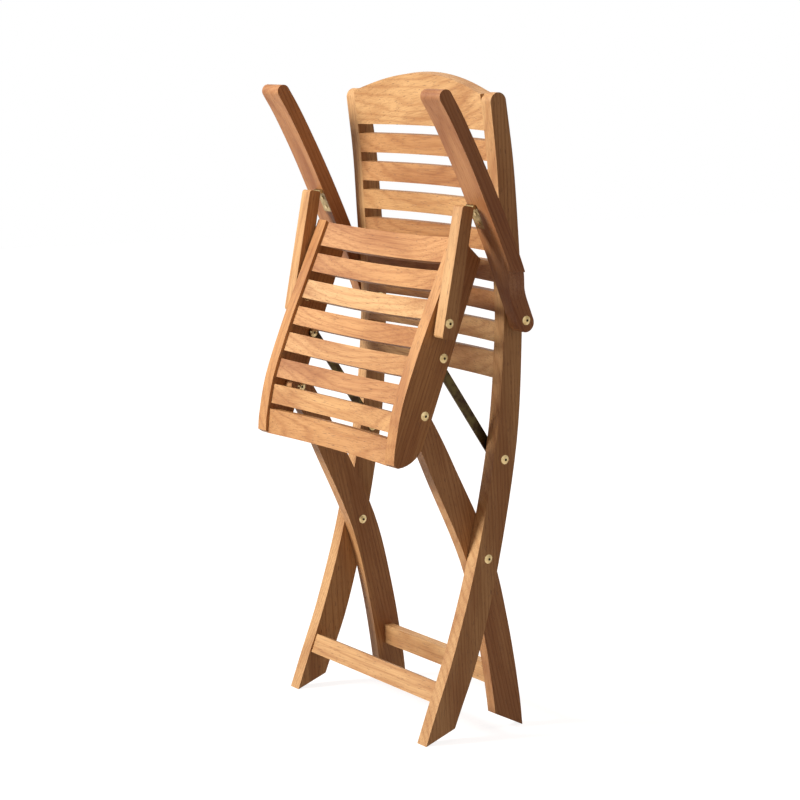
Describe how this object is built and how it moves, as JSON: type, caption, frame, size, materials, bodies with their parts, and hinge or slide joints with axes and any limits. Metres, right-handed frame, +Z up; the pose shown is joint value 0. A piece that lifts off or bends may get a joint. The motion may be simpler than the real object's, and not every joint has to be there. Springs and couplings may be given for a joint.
{
  "type": "folding armchair",
  "caption": "Slatted hardwood armchair with hollowed seat and back, hinged arms and brass link bars, whose legs, seat and arms fold together about cross pivots.",
  "frame": {"origin": "on the floor, under the middle of the chair's bounding box", "axes": "+X to the right seen from the front, the sitter faces -Y, +Z up"},
  "size_m": [0.56, 0.2686, 1.0728],
  "materials": {
    "wood": "fine sanded, lightly oiled",
    "brass": "polished"
  },
  "bodies": {
    "back_frame": {"stile_left": "wood", "stile_right": "wood", "top_rail": "wood", "front_stretcher": "wood", "back_foot_slat": "wood", "back_slat_1": "wood", "back_slat_2": "wood", "back_slat_3": "wood", "back_slat_4": "wood", "back_slat_5": "wood", "back_slat_6": "wood", "back_slat_7": "wood"},
    "main_pins": {"main_pivot_bolts": "brass", "main_pivot_washers": "brass"},
    "rear_legs": {"rear_leg_left": "wood", "rear_leg_right": "wood", "rear_stretcher": "wood"},
    "seat_pins": {"seat_pivot_bolts": "brass", "seat_pivot_washers": "brass"},
    "seat": {"seat_rail_left": "wood", "seat_rail_right": "wood", "seat_rear_slat": "wood", "seat_front_slat": "wood", "seat_slat_1": "wood", "seat_slat_2": "wood", "seat_slat_3": "wood", "seat_slat_4": "wood", "seat_slat_5": "wood", "seat_slat_6": "wood", "link_seat_studs": "brass", "seat_arm_studs": "brass", "seat_arm_washers": "brass"},
    "link_pins": {"link_pivot_bolts": "brass", "link_pivot_spacers": "brass"},
    "link_bars": {"link_bar_left": "brass", "link_bar_right": "brass", "link_end_studs": "brass", "link_end_spacers": "brass"},
    "arm_pins": {"arm_pivot_bolts": "brass", "arm_pivot_washers": "brass"},
    "arms": {"arm_left": "wood", "arm_right": "wood", "arm_hinge_leaves": "brass", "arm_hinge_screws": "brass"},
    "arm_hinge_rods": {"hinge_pins": "brass"},
    "arm_supports": {"arm_support_left": "wood", "arm_support_right": "wood", "support_hinge_leaves": "brass", "support_hinge_screws": "brass", "support_studs": "brass"}
  },
  "joints": [
    {"name": "main_fold", "type": "hinge", "parent": "back_frame", "child": "main_pins", "pos_m": [0, 0.04567, 0.295], "axis": [1, 0, 0], "range_deg": [-15.5, 0]},
    {"name": "main_open", "type": "hinge", "parent": "main_pins", "child": "rear_legs", "pos_m": [0, 0.04567, 0.295], "axis": [1, 0, 0], "range_deg": [0, 47.5]},
    {"name": "seat_fold", "type": "hinge", "parent": "rear_legs", "child": "seat_pins", "pos_m": [0, -0.07633, 0.538], "axis": [1, 0, 0], "range_deg": [0, 23.03]},
    {"name": "seat_open", "type": "hinge", "parent": "seat_pins", "child": "seat", "pos_m": [0, -0.07633, 0.538], "axis": [1, 0, 0], "range_deg": [-97.51, 0]},
    {"name": "link_fold", "type": "hinge", "parent": "back_frame", "child": "link_pins", "pos_m": [0, 0.07667, 0.455], "axis": [1, 0, 0], "range_deg": [-17.56, 0]},
    {"name": "link_open", "type": "hinge", "parent": "link_pins", "child": "link_bars", "pos_m": [0, 0.07667, 0.455], "axis": [1, 0, 0], "range_deg": [0, 70.94]},
    {"name": "arm_fold", "type": "hinge", "parent": "back_frame", "child": "arm_pins", "pos_m": [0, 0.09567, 0.6825], "axis": [1, 0, 0], "range_deg": [-18.54, 0]},
    {"name": "arm_open", "type": "hinge", "parent": "arm_pins", "child": "arms", "pos_m": [0, 0.09567, 0.6825], "axis": [1, 0, 0], "range_deg": [0, 76.57]},
    {"name": "support_fold", "type": "hinge", "parent": "arms", "child": "arm_hinge_rods", "pos_m": [0, -0.00287, 0.86583], "axis": [1, 0, 0], "range_deg": [0, 14.24]},
    {"name": "support_open", "type": "hinge", "parent": "arm_hinge_rods", "child": "arm_supports", "pos_m": [0, -0.00287, 0.86583], "axis": [1, 0, 0], "range_deg": [-55.73, 0]}
  ],
  "couplings": [
    {"joint": "seat_fold", "follows": "main_fold", "ratio": -1.4826},
    {"joint": "seat_open", "follows": "main_open", "ratio": -2.0517},
    {"joint": "link_fold", "follows": "main_fold", "ratio": 1.13},
    {"joint": "link_open", "follows": "main_open", "ratio": 1.4924},
    {"joint": "arm_fold", "follows": "main_fold", "ratio": 1.1931},
    {"joint": "arm_open", "follows": "main_open", "ratio": 1.6109},
    {"joint": "support_fold", "follows": "main_fold", "ratio": -0.9153},
    {"joint": "support_open", "follows": "main_open", "ratio": -1.1723}
  ]
}
